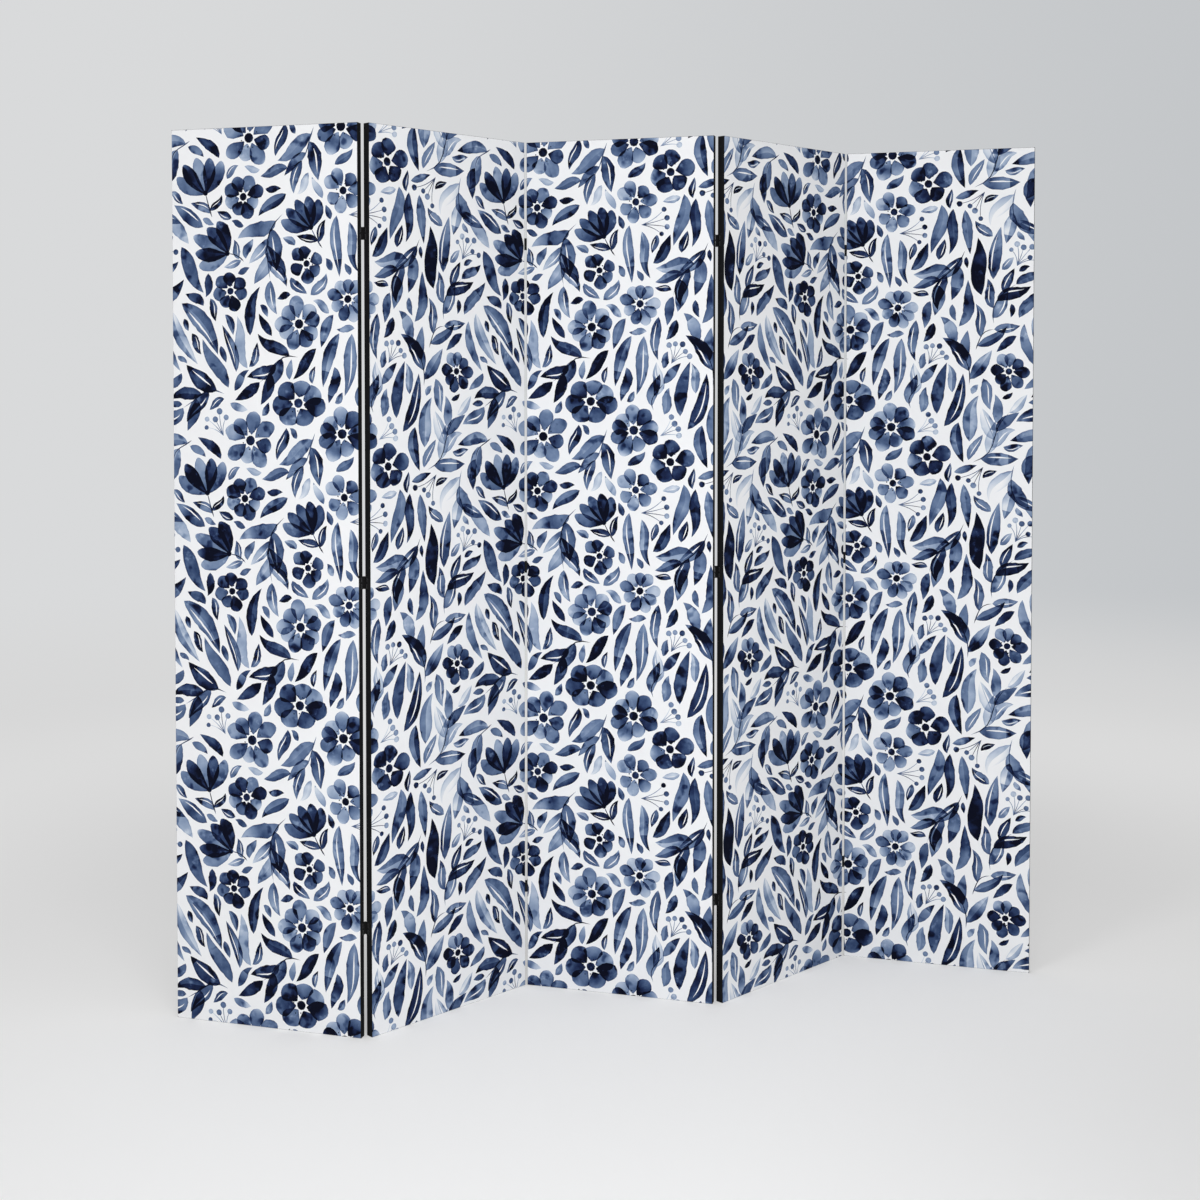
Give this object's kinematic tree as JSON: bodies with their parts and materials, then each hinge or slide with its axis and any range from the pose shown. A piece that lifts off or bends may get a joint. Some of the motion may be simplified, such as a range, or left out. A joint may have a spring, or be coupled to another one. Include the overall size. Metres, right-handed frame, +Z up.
{
  "type": "folding screen",
  "caption": "Folding room divider: tall canvas-covered panels in a zigzag, hinged edge to edge by webbing straps, with a blue leaf print on the front.",
  "frame": {"origin": "on the floor, at the centre of the base of the middle panel, which is also the centre of the zigzag's footprint", "axes": "+Z up; +X along the line of the zigzag, to the right as seen from the printed side; +Y horizontal, from the printed side to the back, through the depth of the zigzag"},
  "size_m": [1.7935, 0.2147, 1.78],
  "materials": {
    "pine": "sanded, unfinished",
    "print_canvas": "matte primed canvas with a watercolour print, black on the sides",
    "black_cloth": "matte non-woven cloth",
    "webbing": "woven tape",
    "staple_wire": "galvanised"
  },
  "bodies": {
    "panel_1": {"panel_1_left_stile": "pine", "panel_1_right_stile": "pine", "panel_1_top_rail": "pine", "panel_1_bottom_rail": "pine", "panel_1_cross_rails": "pine", "panel_1_print_canvas": "print_canvas", "panel_1_back_cloth": "black_cloth", "panel_1_cloth_staples": "staple_wire", "panel_1_strap_staples": "staple_wire", "fold_1_2_straps_on_panel_1": "webbing"},
    "panel_2": {"panel_2_left_stile": "pine", "panel_2_right_stile": "pine", "panel_2_top_rail": "pine", "panel_2_bottom_rail": "pine", "panel_2_cross_rails": "pine", "panel_2_print_canvas": "print_canvas", "panel_2_back_cloth": "black_cloth", "panel_2_cloth_staples": "staple_wire", "panel_2_strap_staples": "staple_wire", "fold_1_2_straps_on_panel_2": "webbing", "fold_1_2_strap_bends": "webbing", "fold_2_3_straps_on_panel_2": "webbing"},
    "panel_3": {"panel_3_left_stile": "pine", "panel_3_right_stile": "pine", "panel_3_top_rail": "pine", "panel_3_bottom_rail": "pine", "panel_3_cross_rails": "pine", "panel_3_print_canvas": "print_canvas", "panel_3_back_cloth": "black_cloth", "panel_3_cloth_staples": "staple_wire", "panel_3_strap_staples": "staple_wire", "fold_2_3_straps_on_panel_3": "webbing", "fold_2_3_strap_bends": "webbing", "fold_3_4_straps_on_panel_3": "webbing", "fold_3_4_strap_bends": "webbing"},
    "panel_4": {"panel_4_left_stile": "pine", "panel_4_right_stile": "pine", "panel_4_top_rail": "pine", "panel_4_bottom_rail": "pine", "panel_4_cross_rails": "pine", "panel_4_print_canvas": "print_canvas", "panel_4_back_cloth": "black_cloth", "panel_4_cloth_staples": "staple_wire", "panel_4_strap_staples": "staple_wire", "fold_3_4_straps_on_panel_4": "webbing", "fold_4_5_straps_on_panel_4": "webbing", "fold_4_5_strap_bends": "webbing"},
    "panel_5": {"panel_5_left_stile": "pine", "panel_5_right_stile": "pine", "panel_5_top_rail": "pine", "panel_5_bottom_rail": "pine", "panel_5_cross_rails": "pine", "panel_5_print_canvas": "print_canvas", "panel_5_back_cloth": "black_cloth", "panel_5_cloth_staples": "staple_wire", "panel_5_strap_staples": "staple_wire", "fold_4_5_straps_on_panel_5": "webbing"}
  },
  "joints": [
    {"name": "fold_2_3", "type": "hinge", "parent": "panel_3", "child": "panel_2", "pos_m": [-0.17985, 0.09229, 0.89], "axis": [0, 0, 1], "range_deg": [-60, 116], "deforming": ["fold_2_3_strap_bends"]},
    {"name": "fold_1_2", "type": "hinge", "parent": "panel_2", "child": "panel_1", "pos_m": [-0.53955, -0.09229, 0.89], "axis": [0, 0, -1], "range_deg": [-60, 120], "deforming": ["fold_1_2_strap_bends"]},
    {"name": "fold_3_4", "type": "hinge", "parent": "panel_3", "child": "panel_4", "pos_m": [0.17985, -0.09229, 0.89], "axis": [0, 0, 1], "range_deg": [-60, 116], "deforming": ["fold_3_4_strap_bends"]},
    {"name": "fold_4_5", "type": "hinge", "parent": "panel_4", "child": "panel_5", "pos_m": [0.53955, 0.09229, 0.89], "axis": [0, 0, -1], "range_deg": [-60, 120], "deforming": ["fold_4_5_strap_bends"]}
  ]
}
